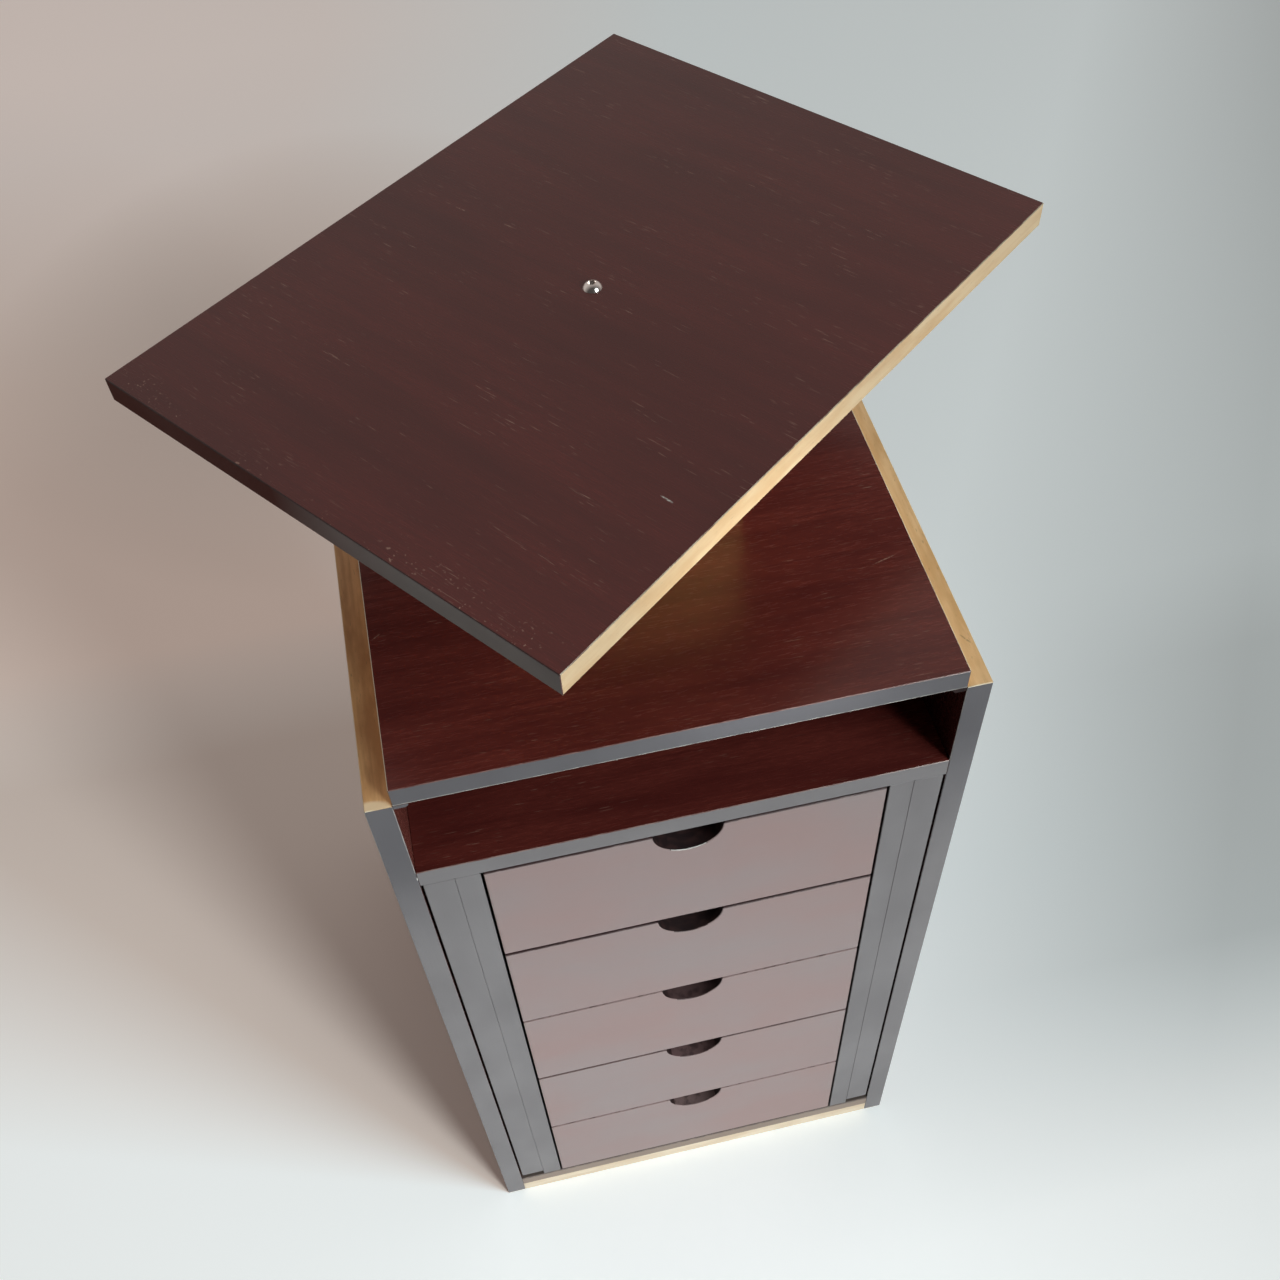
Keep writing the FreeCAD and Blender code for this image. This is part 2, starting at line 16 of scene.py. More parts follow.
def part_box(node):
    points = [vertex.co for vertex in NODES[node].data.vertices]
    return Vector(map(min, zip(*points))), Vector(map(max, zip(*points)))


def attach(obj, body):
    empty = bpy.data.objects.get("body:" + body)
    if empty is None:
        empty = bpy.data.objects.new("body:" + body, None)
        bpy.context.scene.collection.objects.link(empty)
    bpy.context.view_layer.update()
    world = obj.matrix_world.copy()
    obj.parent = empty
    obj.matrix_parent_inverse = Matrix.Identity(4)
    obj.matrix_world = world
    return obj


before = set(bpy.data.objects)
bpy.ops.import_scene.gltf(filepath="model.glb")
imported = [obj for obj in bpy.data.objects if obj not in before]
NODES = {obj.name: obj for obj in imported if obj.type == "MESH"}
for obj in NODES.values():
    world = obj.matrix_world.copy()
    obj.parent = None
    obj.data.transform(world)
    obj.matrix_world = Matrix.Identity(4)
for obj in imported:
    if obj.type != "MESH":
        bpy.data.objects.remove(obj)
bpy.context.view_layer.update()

DRAWERS = range(1, 1 + sum(name.startswith("drawer") and name.endswith("_front") for name in NODES))
AXES = "xyz"

# A finish: its colour, roughness, height for the bump, and shine; a value or a socket each
Finish = namedtuple("Finish", "colour roughness height shine", defaults=(0.5,))

# A layer of noise: its cells per metre along and across the grain, its detail, the values
# between which it comes up, and how much of it shows
Layer = namedtuple("Layer", "cells detail low high share", defaults=(0.3, 0.7, 1.0))

# A corner between two sides such as "-y+z", coloured apart: rubbed, and a painted highlight where pale;
# above a height and within a reach of the middle where these are given; a level strip on one side
# or two; and a mark on a face that looks up, with broken or solid paint
Arris = namedtuple("Arris", "sides colour strength lowest reach", defaults=(0, 0))
Strip = namedtuple("Strip", "sides low high colour strength")
Mark = namedtuple("Mark", "start end width colour strength solid", defaults=(False,))

# A light, with the place it looks at
Lamp = namedtuple("Lamp", "name kind place target power tint settings")

# The camera of the photograph
CAMERA_PLACE = (-0.1057, -0.7364, 1.5513)
CAMERA_TURN = math.radians(-9.377)
CAMERA_TILT = math.radians(-52.219)
CAMERA_ROLL = math.radians(-3.803)
CAMERA_LENS = 39.46
SENSOR_WIDTH = 36.0

# The swivelling board stands turned clockwise, seen from above
BOARD_TURN = math.radians(51.5)

# Colours of the stained veneers, as shares of red, green and blue light: the swivelling board's,
# the case's, and the inner faces' of the left side, paler as painted light, and of the right, the darkest as
# painted shade
BOARD_DARK = (0.078, 0.0104, 0.0084, 1)
BOARD_RED = (0.120, 0.0160, 0.0125, 1)
CASE_DARK = (0.082, 0.0135, 0.0115, 1)
CASE_RED = (0.172, 0.0330, 0.0245, 1)
ROSY_DARK = (0.125, 0.034, 0.028, 1)
ROSY_RED = (0.260, 0.075, 0.058, 1)
DEEP_DARK = (0.030, 0.0062, 0.0052, 1)
DEEP_RED = (0.052, 0.0108, 0.0085, 1)
PALE_PORE = (0.34, 0.185, 0.140, 1)

# How much of the pale pores shows in each veneer
BOARD_PORES = 0.7
CASE_PORES = 0.75
ROSY_PORES = 0.5
DEEP_PORES = 0.2

# Near black insides of notches and gaps
CUT_DARK = (0.024, 0.0140, 0.0150, 1)
CUT_BROWN = (0.050, 0.0240, 0.0230, 1)

# Colours of the paints: greys from bluish slate, the darker grey of painted shade near the top of the
# case, to brown umber and pinkish taupe, the mauve of the drawer fronts, and what shows where the
# paint is rubbed or chipped, with painted highlight on the pale corners; and the painted shadow
# under the lowest drawer and the painted shade of the gaps above the drawer fronts
GREY_PAINT = (0.235, 0.214, 0.223, 1)
GREY_WORN = (0.210, 0.191, 0.199, 1)
SLATE_PAINT = (0.126, 0.1165, 0.131, 1)
SLATE_WORN = (0.111, 0.1025, 0.115, 1)
UMBER_PAINT = (0.119, 0.091, 0.080, 1)
UMBER_WORN = (0.076, 0.056, 0.047, 1)
UMBER_DARK = (0.080, 0.0170, 0.0110, 1)
TAUPE_PAINT = (0.342, 0.250, 0.200, 1)
TAUPE_WORN = (0.308, 0.222, 0.176, 1)
TAUPE_SHADOW = (0.088, 0.055, 0.047, 1)
MAUVE_PAINT = (0.362, 0.250, 0.243, 1)
MAUVE_PINK = (0.383, 0.250, 0.240, 1)
MAUVE_GREY = (0.336, 0.258, 0.257, 1)
ARRIS_PALE = (0.55, 0.52, 0.48, 1)
ARRIS_PINK = (0.42, 0.30, 0.27, 1)
CHIP_WHITE = (0.95, 0.92, 0.88, 1)
GAP_SHADE = (0.064, 0.029, 0.030, 1)
GAP_SHADE_ROSE = (0.190, 0.125, 0.120, 1)

# Colours of the bare wood: plain, cream on the swivelling board, birch at the foot, amber on the
# left side's upper edge, darker as painted shade, and honey on the pedestal
WOOD_PALE = (0.92, 0.62, 0.325, 1)
WOOD_DEEP = (0.74, 0.450, 0.200, 1)
# The colour of the painted patch of light on the left side's front end
WOOD_LIT = (1.0, 0.74, 0.47, 1)
# Rubbed bare wood on the pale corners, brighter as painted highlight
WOOD_BRIGHT = (0.95, 0.84, 0.62, 1)
WOOD_FLECK = (0.30, 0.17, 0.08, 1)
CREAM_PALE = (0.97, 0.700, 0.420, 1)
CREAM_DEEP = (0.85, 0.545, 0.285, 1)
BIRCH_PALE = (0.957, 0.79, 0.60, 1)
BIRCH_DEEP = (0.846, 0.658, 0.467, 1)
AMBER_PALE = (0.93, 0.55, 0.250, 1)
AMBER_DEEP = (0.66, 0.335, 0.135, 1)
HONEY_PALE = (0.80, 0.50, 0.140, 1)
HONEY_DEEP = (0.64, 0.37, 0.090, 1)

# Metals, with the least roughness of each and how the turning marks change them
CHROME_COLOUR = (0.95, 0.87, 0.83, 1)
CHROME_ROUGHNESS = 0.13
ZINC_COLOUR = (0.62, 0.63, 0.64, 1)
ZINC_ROUGHNESS = 0.32
TURNING = Layer((900, 900, 3000), 2.0, 0.4, 0.7, 0.5)
TURNED_COLOUR_SHARE = 0.8
TURNED_ROUGHNESS_TIMES = 1.6

# Layers of the stained veneer, and the specks by the swivelling board's front edge
NOISE_ROUGHNESS = 0.55
DRIFT = Layer((4, 7, 7), 2.0)
BANDS = Layer((7, 60, 60), 3.0)
BANDS_SHARE = 0.45
TONE_SPAN = (0.38, 0.62)
STREAKS = Layer((13, 330, 330), 2.0, 0.52, 0.72, 0.55)
FIBRES = Layer((110, 900, 900), 3.0, 0.64, 0.36, 0.5)
PORES = Layer((65, 1150, 1150), 1.0, 0.69, 0.76)
PORE_CROWD = Layer((14, 30, 30), 2.0, 0.44, 0.62)
SPECKS = Layer((420, 420, 420), 1.0, 0.67, 0.73)
SPECK_CROWD = Layer((24, 24, 24), 1.0, 0.46, 0.58)
SPECK_SPAN = (-0.225, -0.246)

# Layers of the dark hollows, the paints and the bare wood
CUT_CLOUD = Layer((60, 200, 200), 2.0, 0.45, 0.70)
PAINT_CLOUD = Layer((9, 16, 16), 2.0, 0.35, 0.65)
BRUSHING = Layer((60, 700, 700), 2.0)
MAUVE_CLOUD = Layer((7, 11, 11), 3.0, 0.35, 0.65)
MAUVE_GRAIN = Layer((18, 420, 420), 3.0, 0.35, 0.65, 0.5)
MOTTLE = Layer((20, 75, 75), 3.0, 0.40, 0.62)
LINES = Layer((9, 330, 330), 2.0, 0.48, 0.68, 0.55)
FLECKS = Layer((160, 1300, 1300), 1.0, 0.68, 0.78, 0.5)

# Least and greatest roughness of each surface, over the middle of the noise that drives it
NOISE_SPAN = (0.3, 0.7)
LACQUER = (0.22, 0.29)
CUT_SURFACE = (0.34, 0.44)
PAINT = (0.46, 0.56)
FRONT_PAINT = (0.40, 0.50)
BARE_WOOD = (0.40, 0.50)
HOLLOW_SHINE_SHARE = 0.1
BUMP = {"Strength": 0.12, "Distance": 0.0004}

# Where the uprights' paint darkens to slate, by height, as painted shade near the top of the case,
# and where the swivelling board's grey edge is rubbed dark and dull, from the right to the left
RISING_SPAN = (0.57, 0.74)
RUBBED_SPAN = (0.080, -0.035)
RUBBED_SHINE = (0.40, 0.02)

# How broken the coloured corners, the strips and the marks are, and where a mark fades out
ARRIS_WEAR = Layer((60, 60, 60), 3.0, 0.36, 0.56)
STRIP_WEAR = Layer((120, 120, 120), 3.0, 0.36, 0.52)
MARK_WEAR = Layer((700, 700, 700), 1.0, 0.35, 0.60)
LEAST_ARRIS = 0.35
LEAST_STRIP = 0.3
MARK_FADE = (1.0, 0.6)

# How squarely a face looks to a side: flat faces, and the eased corners beside them
FLAT = 0.9
SLANT = 0.6

# Heights of the strips on the front edges
TOP_STRIP = 0.0012
BOARD_STRIP = 0.0014
SHADED_STRIP = 0.0037
# The white chip at the left side's inner front corner: chipped paint with a painted highlight
CHIP_SPAN = (0.6980, 0.7020)

# Coloured corners of the fixed top and of the swivelling board: the pale ones rubbed wood with a
# painted highlight, strongest on the fixed top's left end
FIXED_ARRISES = [
    Arris("-y+z", ARRIS_PINK, 0.5),
    Arris("-x+z", WOOD_BRIGHT, 2.5),
    Arris("+x+z", WOOD_BRIGHT, 1.2),
]
BOARD_ARRISES = [
    Arris("+x+z", WOOD_BRIGHT, 0.5),
    Arris("+x-z", WOOD_DEEP, 0.6),
    Arris("-y+z", CUT_BROWN, 0.9),
    Arris("-x+z", WOOD_DEEP, 0.5),
]

# Marks on the fixed top, in its frame, and on the swivelling board, in the board's own
FIXED_MARKS = [
    Mark((-0.1880, -0.1290), (-0.1810, -0.1240), 0.0010, PALE_PORE, 0.9),
    Mark((0.1560, -0.1480), (0.1760, -0.1425), 0.0011, PALE_PORE, 1.0),
    Mark((-0.1850, -0.0560), (-0.1560, -0.0430), 0.0008, PALE_PORE, 0.7),
]
BOARD_MARKS = [
    Mark((0.1515, -0.1191), (0.1627, -0.1195), 0.0015, ARRIS_PALE, 1.0),
    Mark((-0.1345, 0.0105), (-0.1235, 0.0112), 0.0011, PALE_PORE, 0.9),
]

# A painted patch of light on the front end of the left side's upper edge, and a knot in the right side's
LIT_END = Mark((-0.2140, -0.2450), (-0.1880, -0.2500), 0.0100, WOOD_LIT, 1.0, True)
KNOT = Mark((0.1995, -0.2060), (0.2065, -0.2180), 0.0016, WOOD_FLECK, 0.6)

# The first notch has a white rim, rubbed paint with a painted highlight, the others a stained one: how far
# each reaches from the middle
RUBBED_REACH = 0.013
STAINED_REACH = 0.022

# The colour of each drawer front's upper edge, painted shade that sets how dark the gap above it looks, and
# how far this painted shade comes down its face
UPPER_EDGES = ((GAP_SHADE, 0.0011), (GAP_SHADE, 0.0013), (MAUVE_PAINT, 0), (GAP_SHADE_ROSE, 0), (MAUVE_PAINT, 0))
EDGE_DEPTH = 0.002

# The inside of each notch, paler than the dark cut on the lower drawers as painted light, and how far down it
# lies
NOTCH_LIGHT = (None, None, (0.080, 0.045, 0.045, 1), (0.125, 0.072, 0.072, 1), (0.170, 0.110, 0.107, 1))
NOTCH_DEPTH = 0.028

# Heads of screws and pins: radius, profile in radii from the foot to the middle, and places
HEAD_STEPS = 16
SCREW_HEAD = 0.0032
SCREW_PROFILE = ((0, -0.40), (0.9, -0.40), (1, 0.02), (0.45, 0.02), (0.35, -0.20), (0, -0.25))
SCREW_SHARES = (0.12, 0.50, 0.88)
PIN_HEAD = 0.0016
PIN_PROFILE = ((0, -0.50), (1, -0.50), (1, 0.10), (0.7, 0.22), (0, 0.28))
ROW_SHARES = (0.08, 0.29, 0.50, 0.71, 0.92)
COLUMN_SHARES = (0.16, 0.39, 0.61, 0.84)

# Colours of the floor: as it lights the chest, and as it is seen in each region, where the tints are
# painted light and shade: a darker right, a warm dusk shade on the left, and a painted shadow of the
# swivelling board behind the chest, to the left
FLOOR_COLOUR = (0.86, 0.87, 0.88, 1)
FLOOR_LIT = (0.99, 0.99, 1.0, 1)
FLOOR_AIRY = (0.90, 0.97, 1.0, 1)
FLOOR_RIGHT_SHADE = (0.76, 0.81, 0.83, 1)
FLOOR_DUSK_SHADE = (1.0, 0.86, 0.79, 1)
FLOOR_SHADOW = (0.88, 0.75, 0.69, 1)
FLOOR_COOL = (0.90, 0.99, 1.0, 1)
FLOOR_WARM = (1.0, 0.70, 0.58, 1)
FLOOR_SIZE = 16
FLOOR_ROUGHNESS = 0.6

# Where the floor's regions begin and end, in metres across, back or away from a point
LEFT_SPAN = (0.10, -0.15)
LEFT_SPREAD = 2.0
RIGHT_SPAN = (0.25, 0.75)
RIGHT_SLANT = 0.6
RIGHT_START = (-0.40, -0.15)
RIGHT_BEHIND = (0.24, 0.40, 1.0, 0.75)
AIRY_SPAN = (-0.30, 0.0)
LEFT_FOOT = (-0.208, -0.250, 0.0)
FRONT_TURN_SPAN = (0.70, 0.30)
NEAR_SPAN = (4.5, 2.7)
WALL_SPAN = (0.40, 0.60)
WALL_RISE = (1.3, 2.2, 1.0, 1.8)
SHADOW_MIDDLE = (-0.28, 1.25, 0.0)
SHADOW_SPAN = (0.15, 0.60)
DUSK_FADE = (1.9, 1.2, 0.1, 1.0)

# How much the floor's regions glow to the eye: painted light, in front on the left, behind and on the right
LEFT_GLOW = 0.195
RIGHT_GLOW = 0.170
WALL_GLOW = 0.105

# Light: a cool soft key from the right and front, a low beam, a patch on the pedestal, a rake
# over the fixed top's right half, and a warm surround that is brighter behind the chest
COOL = (0.88, 1.0, 1.0)
PLAIN = (0.93, 1.0, 0.995)
WARM = (1.0, 0.935, 0.88, 1)
BEAM_CONE = {"spot_size": math.radians(26), "spot_blend": 0.45, "shadow_soft_size": 0.45}
PATCH_CONE = {"spot_size": math.radians(7), "spot_blend": 0.8, "shadow_soft_size": 0.05}
RAKE_CONE = {"spot_size": math.radians(8), "spot_blend": 1.0, "shadow_soft_size": 0.10}
LAMPS = (
    Lamp("key", "AREA", (2.30, -2.40, 3.00), (0.0, -0.1, 0.75), 59.0, COOL, {"size": 1.86}),
    Lamp("beam", "SPOT", (1.60, -3.15, 2.30), (-0.36, -0.35, 0.0), 357.0, PLAIN, BEAM_CONE),
    Lamp("patch", "SPOT", (0.50, -2.00, 0.92), (0.02, -0.08, 0.88), 130.0, PLAIN, PATCH_CONE),
    Lamp("rake", "SPOT", (1.50, -0.90, 2.60), (0.14, -0.05, 0.81), 38.0, PLAIN, RAKE_CONE),
)
SURROUND_SPAN = (-0.4, 0.4)
FRONT_GLOW = 0.063
REAR_GLOW = 0.485
BACKDROP_GLOW = 0.50


# Node helpers

def put(tree, kind, inputs=None, **settings):
    """Add a node, set its properties, and set or link its inputs."""
    node = tree.nodes.new(kind)
    for name, value in settings.items():
        setattr(node, name, value)
    for name, value in (inputs or {}).items():
        if isinstance(value, bpy.types.NodeSocket):
            tree.links.new(value, node.inputs[name])
        else:
            node.inputs[name].default_value = value
    return node


def calculate(tree, operation, first, second=0.0):
    """A sum, product or comparison of two values."""
    return put(tree, "ShaderNodeMath", {0: first, 1: second}, operation=operation).outputs[0]


def product(tree, first, *others):
    """All the values multiplied."""
    for other in others:
        first = calculate(tree, "MULTIPLY", first, other)
    return first


def mix_colour(tree, share, first, second):
    """The second colour over the first by a share."""
    inputs = {"Factor": share, 6: first, 7: second}
    return put(tree, "ShaderNodeMix", inputs, data_type="RGBA").outputs[2]


def mix_value(tree, share, first, second):
    """The second value over the first by a share."""
    return put(tree, "ShaderNodeMix", {0: share, 2: first, 3: second}).outputs[0]


def split(tree, vector):
    """The three parts of a vector."""
    return put(tree, "ShaderNodeSeparateXYZ", {0: vector}).outputs


def noise(tree, place, layer):
    """Smooth noise with the cells and detail of a layer."""
    stretched = put(tree, "ShaderNodeMapping", {"Vector": place, "Scale": layer.cells}).outputs[0]
    inputs = {"Vector": stretched, "Scale": 1.0, "Detail": layer.detail, "Roughness": NOISE_ROUGHNESS}
    return put(tree, "ShaderNodeTexNoise", inputs).outputs["Fac"]


def ramp(tree, value, low, high, start=0.0, end=1.0):
    """A value spread from start, at low, to end, at high."""
    inputs = {"Value": value, "From Min": low, "From Max": high, "To Min": start, "To Max": end}
    return put(tree, "ShaderNodeMapRange", inputs).outputs[0]


def shown(tree, value, layer, least=0.0):
    """How much of a layer shows where its noise has a value."""
    return ramp(tree, value, layer.low, layer.high, least, layer.share)


def patches(tree, place, layer, least=0.0):
    """How much of a layer shows at a place."""
    return shown(tree, noise(tree, place, layer), layer, least)


def rough(tree, value, surface):
    """A surface's roughness, by the noise that drives it."""
    return ramp(tree, value, *NOISE_SPAN, *surface)


def new_material(name):
    """A material, its node tree and its shader."""
    material = bpy.data.materials.new(name)
    material.use_nodes = True
    return material, material.node_tree, material.node_tree.nodes["Principled BSDF"]


# Finishes: each takes a place whose first axis runs along the grain

def stained(tree, place, dark, red, pore_share):
    """Red-brown stain on a veneer with sparse open pores, under satin lacquer."""
    tone = mix_value(tree, BANDS_SHARE, noise(tree, place, DRIFT), noise(tree, place, BANDS))
    base = mix_colour(tree, ramp(tree, tone, *TONE_SPAN), dark, red)
    streaked = mix_colour(tree, patches(tree, place, STREAKS), base, dark)
    fibres = noise(tree, place, FIBRES)
    fibred = mix_colour(tree, shown(tree, fibres, FIBRES), streaked, dark)
    pale = product(tree, patches(tree, place, PORES), patches(tree, place, PORE_CROWD), pore_share)
    return Finish(mix_colour(tree, pale, fibred, PALE_PORE), rough(tree, fibres, LACQUER), fibres)


def specked(tree, place, dark, red, pore_share):
    """The same, worn to pale specks by the swivelling board's front edge."""
    stain = stained(tree, place, dark, red, pore_share)
    near_edge = ramp(tree, split(tree, place)[1], *SPECK_SPAN)
    worn = product(tree, patches(tree, place, SPECKS), patches(tree, place, SPECK_CROWD), near_edge)
    return stain._replace(colour=mix_colour(tree, worn, stain.colour, PALE_PORE))


def cut_edge(tree, place):
    """The near black inside of notches and gaps."""
    cloud = noise(tree, place, CUT_CLOUD)
    colour = mix_colour(tree, shown(tree, cloud, CUT_CLOUD), CUT_DARK, CUT_BROWN)
    return Finish(colour, rough(tree, cloud, CUT_SURFACE), cloud)


def hollow(tree, place):
    """The same dark, with hardly a sheen."""
    dark = cut_edge(tree, place)
    return dark._replace(shine=product(tree, dark.roughness, HOLLOW_SHINE_SHARE))


def painted(tree, place, paint, worn):
    """Matt paint on a board's edge."""
    cloud = noise(tree, place, PAINT_CLOUD)
    colour = mix_colour(tree, shown(tree, cloud, PAINT_CLOUD), paint, worn)
    return Finish(colour, rough(tree, cloud, PAINT), noise(tree, place, BRUSHING))


def rising(tree, place):
    """Grey paint that darkens to slate towards the top of an upright: painted shade."""
    share = ramp(tree, split(tree, place)[0], *RISING_SPAN)
    foot = painted(tree, place, GREY_PAINT, GREY_WORN)
    return mix_finish(tree, share, foot, painted(tree, place, SLATE_PAINT, SLATE_WORN))


def fading(tree, place, paint, worn, rubbed):
    """Paint that is rubbed dark and dull towards the left."""
    fresh = painted(tree, place, paint, worn)
    dark = ramp(tree, split(tree, place)[0], *RUBBED_SPAN)
    colour = mix_colour(tree, dark, fresh.colour, rubbed)
    return fresh._replace(colour=colour, shine=mix_value(tree, dark, *RUBBED_SHINE))


def mauve(tree, place):
    """Mauve grey paint on a drawer's face, with a trace of grain."""
    cloud = noise(tree, place, MAUVE_CLOUD)
    pink = mix_colour(tree, shown(tree, cloud, MAUVE_CLOUD), MAUVE_GREY, MAUVE_PINK)
    grain = noise(tree, place, MAUVE_GRAIN)
    colour = mix_colour(tree, shown(tree, grain, MAUVE_GRAIN), pink, MAUVE_PAINT)
    return Finish(colour, rough(tree, cloud, FRONT_PAINT), grain)


def bare_wood(tree, place, pale, deep):
    """Pale wood under clear lacquer, softly mottled with short dark flecks."""
    mottle = noise(tree, place, MOTTLE)
    figure = mix_colour(tree, shown(tree, mottle, MOTTLE), pale, deep)
    lines = noise(tree, place, LINES)
    lined = mix_colour(tree, shown(tree, lines, LINES), figure, deep)
    colour = mix_colour(tree, patches(tree, place, FLECKS), lined, WOOD_FLECK)
    return Finish(colour, rough(tree, mottle, BARE_WOOD), lines)


# What makes each finish, and what it is made with
FINISHES = {
    "case": (stained, CASE_DARK, CASE_RED, CASE_PORES),
    "rosy": (stained, ROSY_DARK, ROSY_RED, ROSY_PORES),
    "deep": (stained, DEEP_DARK, DEEP_RED, DEEP_PORES),
    "board": (specked, BOARD_DARK, BOARD_RED, BOARD_PORES),
    "cut": (cut_edge,),
    "hollow": (hollow,),
    "grey": (painted, GREY_PAINT, GREY_WORN),
    "slate": (painted, SLATE_PAINT, SLATE_WORN),
    "rising": (rising,),
    "umber": (painted, UMBER_PAINT, UMBER_WORN),
    "umber_fading": (fading, UMBER_PAINT, UMBER_WORN, UMBER_DARK),
    "taupe": (painted, TAUPE_PAINT, TAUPE_WORN),
    "mauve": (mauve,),
    "natural": (bare_wood, WOOD_PALE, WOOD_DEEP),
    "cream": (bare_wood, CREAM_PALE, CREAM_DEEP),
    "birch": (bare_wood, BIRCH_PALE, BIRCH_DEEP),
    "amber": (bare_wood, AMBER_PALE, AMBER_DEEP),
    "honey": (bare_wood, HONEY_PALE, HONEY_DEEP),
}


def finish_along(tree, place, spec):
    """A finish with its grain along an axis, from a pair such as ("natural", "y")."""
    kind, axis = spec
    make, *looks = FINISHES[kind]
    parts = split(tree, place)
    first = AXES.index(axis)
    order = [first] + [index for index in range(3) if index != first]
    turned = put(tree, "ShaderNodeCombineXYZ", {slot: parts[index] for slot, index in enumerate(order)})
    return make(tree, turned.outputs[0], *looks)


def mix_finish(tree, share, first, second):
    """The second finish over the first by a share."""
    even = first.shine == second.shine
    return Finish(
        mix_colour(tree, share, first.colour, second.colour),
        mix_value(tree, share, first.roughness, second.roughness),
        mix_value(tree, share, first.height, second.height),
        first.shine if even else mix_value(tree, share, first.shine, second.shine),
    )


# Boards

def board_frame(tree, turn):
    """Place and facing in the board's own square frame, which moves with the board."""
    source = put(tree, "ShaderNodeTexCoord").outputs
    if not turn:
        return source["Object"], source["Normal"]
    squared = [
        put(tree, "ShaderNodeVectorRotate", {"Vector": source[name], "Angle": turn}, rotation_type="Z_AXIS")
        for name in ("Object", "Normal")
    ]
    return squared[0].outputs[0], squared[1].outputs[0]


def facing_share(tree, facing, side, least):
    """One on the faces that look to a side such as "-y", and nought elsewhere."""
    part = split(tree, facing)[AXES.index(side[1])]
    signed = product(tree, part, -1.0 if side[0] == "-" else 1.0)
    return calculate(tree, "GREATER_THAN", signed, least)


def corner_share(tree, facing, sides):
    """One on the faces that look to one side, or to two such as "-y+z" at once."""
    share = facing_share(tree, facing, sides[:2], SLANT)
    if sides[2:]:
        share = product(tree, share, facing_share(tree, facing, sides[2:], SLANT))
    return share


def arris_share(tree, place, facing, arris):
    """Where an eased corner takes its colour: rubbed, and a painted highlight where the colour is pale."""
    share = corner_share(tree, facing, arris.sides)
    across, _, height = split(tree, place)
    if arris.lowest:
        share = product(tree, share, calculate(tree, "GREATER_THAN", height, arris.lowest))
    if arris.reach:
        from_middle = calculate(tree, "ABSOLUTE", across)
        share = product(tree, share, calculate(tree, "LESS_THAN", from_middle, arris.reach))
    return product(tree, share, patches(tree, place, ARRIS_WEAR, LEAST_ARRIS), arris.strength)


def strip_share(tree, place, facing, strip):
    """Where a level strip lies, broken from its least to its own strength."""
    height = split(tree, place)[2]
    above = calculate(tree, "GREATER_THAN", height, strip.low)
    below = calculate(tree, "LESS_THAN", height, strip.high)
    broken = patches(tree, place, STRIP_WEAR._replace(share=strip.strength), LEAST_STRIP)
    return product(tree, corner_share(tree, facing, strip.sides), above, below, broken)


def mark_share(tree, place, facing, mark):
    """Where a short mark lies on a face that looks up."""
    (x, y), (end_x, end_y) = mark.start, mark.end
    middle = ((x + end_x) / 2, (y + end_y) / 2, 0)
    angle = (0, 0, math.atan2(end_y - y, end_x - x))
    half = (math.hypot(end_x - x, end_y - y) / 2, mark.width / 2, 1)
    inputs = {"Vector": place, "Location": middle, "Rotation": angle, "Scale": half}
    inside = put(tree, "ShaderNodeMapping", inputs, vector_type="TEXTURE").outputs[0]
    flat = put(tree, "ShaderNodeVectorMath", {0: inside, 1: (1, 1, 0)}, operation="MULTIPLY").outputs[0]
    away = put(tree, "ShaderNodeVectorMath", {0: flat}, operation="LENGTH").outputs["Value"]
    share = ramp(tree, away, *MARK_FADE, 0.0, mark.strength)
    if not mark.solid:
        share = product(tree, share, patches(tree, place, MARK_WEAR))
    return product(tree, share, facing_share(tree, facing, "+z", FLAT))


def board_material(name, broad, edges, turn=0.0, wrap=False, arrises=(), strips=(), marks=()):
    """A material with one finish for the broad faces and others for named sides."""
    material, tree, shader = new_material(name)
    place, facing = board_frame(tree, turn)
    finish = finish_along(tree, place, broad)
    for side, spec in edges.items():
        share = facing_share(tree, facing, side, SLANT if wrap else FLAT)
        finish = mix_finish(tree, share, finish, finish_along(tree, place, spec))
    colour = finish.colour
    for share_of, details in ((arris_share, arrises), (strip_share, strips), (mark_share, marks)):
        for detail in details:
            colour = mix_colour(tree, share_of(tree, place, facing, detail), colour, detail.colour)
    bump = put(tree, "ShaderNodeBump", {"Height": finish.height, **BUMP})
    tree.links.new(colour, shader.inputs["Base Color"])
    tree.links.new(finish.roughness, shader.inputs["Roughness"])
    tree.links.new(bump.outputs[0], shader.inputs["Normal"])
    if isinstance(finish.shine, bpy.types.NodeSocket):
        tree.links.new(finish.shine, shader.inputs["Specular IOR Level"])
    return material


def metal_material(name, colour, roughness):
    """A metal with faint turning marks."""
    material, tree, shader = new_material(name)
    marks = noise(tree, put(tree, "ShaderNodeTexCoord").outputs["Object"], TURNING)
    worn = tuple(TURNED_COLOUR_SHARE * share for share in colour[:3]) + (1,)
    turned = mix_colour(tree, shown(tree, marks, TURNING), colour, worn)
    roughened = rough(tree, marks, (roughness, roughness * TURNED_ROUGHNESS_TIMES))
    shader.inputs["Metallic"].default_value = 1.0
    tree.links.new(turned, shader.inputs["Base Color"])
    tree.links.new(roughened, shader.inputs["Roughness"])
    return material


def dress(material, names):
    """Give a material to solids."""
    for name in names:
        NODES[name].material_slots[0].material = material


